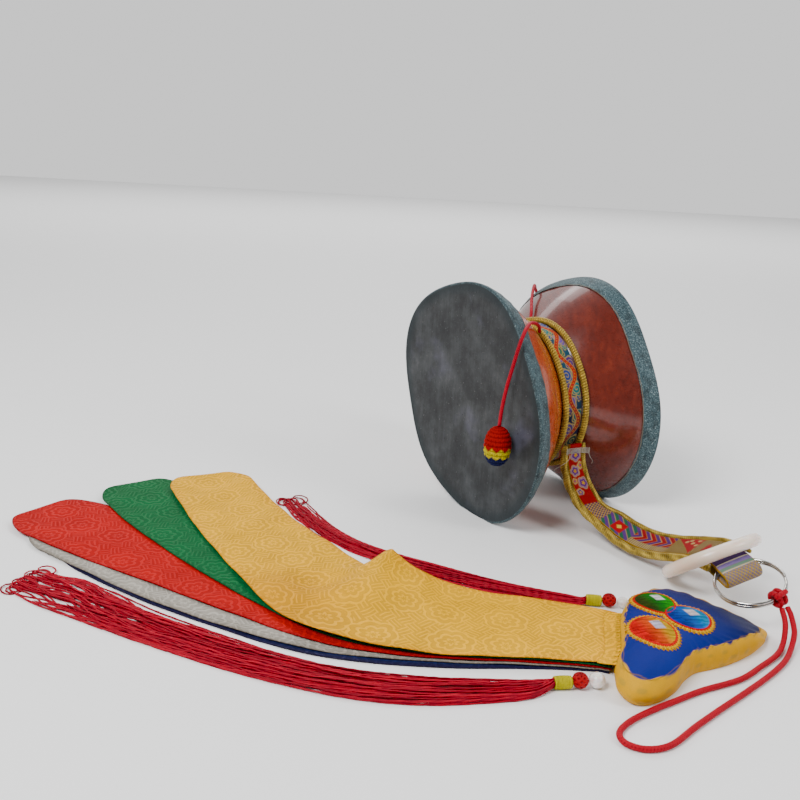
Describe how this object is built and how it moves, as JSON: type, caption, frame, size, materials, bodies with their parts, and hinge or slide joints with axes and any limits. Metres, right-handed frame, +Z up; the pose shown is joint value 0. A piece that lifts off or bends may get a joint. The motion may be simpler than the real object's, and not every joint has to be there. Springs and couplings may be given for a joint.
{
  "type": "damaru drum",
  "caption": "Large hourglass-shaped damaru hand drum with oval skin heads, knocker balls, brocade strap, rings, stuffed pendant, silk streamers and tassels, laid out flat.",
  "frame": {"origin": "centre of the bounding box's bottom face, measured without the knocker cords and the cord loop, on the surface the drum stands on", "axes": "+X from the streamers' tips towards the rings, +Y towards the back of the drum, +Z up"},
  "size_m": [0.6521, 0.5572, 0.2258],
  "materials": {
    "lacquered_wood": "turned hardwood under glossy red-brown lacquer",
    "stretched_skin": "stretched skin, painted dark slate, with streaks and pits",
    "belt_brocade": "woven brocade in lilac, teal and red",
    "gold_braid": "ribbed metallic gold ribbon and braid",
    "red_cord": "smooth braided crimson cord",
    "crochet": "crocheted red, yellow and navy thread",
    "strap_brocade": "patchwork of patterned brocades",
    "polished_bone": "polished cream bone",
    "steel_wire": "polished steel wire",
    "pendant_satin": "navy and yellow satin with satin-stitch jewels",
    "pearl": "pearl bead",
    "yellow_thread": "wound yellow-green thread",
    "tassel_thread": "twisted crimson silk thread",
    "blue_silk": "tone-on-tone damask silk, dark blue",
    "white_silk": "tone-on-tone damask silk, grey-white",
    "red_silk": "tone-on-tone damask silk, red",
    "green_silk": "tone-on-tone damask silk, green",
    "yellow_silk": "tone-on-tone damask silk, golden yellow"
  },
  "bodies": {
    "root": {"bowl_left": "lacquered_wood", "bowl_right": "lacquered_wood", "head_skin_left": "stretched_skin", "head_skin_right": "stretched_skin", "waist_belt": "belt_brocade", "belt_braid_left": "gold_braid", "belt_braid_right": "gold_braid", "knocker_cord_left": "red_cord", "knocker_cord_right": "red_cord", "knocker_ball_left": "crochet", "knocker_ball_right": "crochet", "strap": "strap_brocade", "strap_roll_left": "gold_braid", "strap_roll_right": "gold_braid", "bone_ring": "polished_bone", "steel_ring": "steel_wire", "cord_hitch": "red_cord", "cord_loop": "red_cord", "pendant": "pendant_satin", "streamer_blue": "blue_silk", "streamer_white": "white_silk", "streamer_red": "red_silk", "streamer_green": "green_silk", "streamer_yellow": "yellow_silk", "near_tassel_pearl": "pearl", "near_tassel_knot": "tassel_thread", "near_tassel_wrap": "yellow_thread", "near_tassel_skirt": "tassel_thread", "far_tassel_pearl": "pearl", "far_tassel_knot": "tassel_thread", "far_tassel_wrap": "yellow_thread", "far_tassel_skirt": "tassel_thread"}
  },
  "joints": []
}
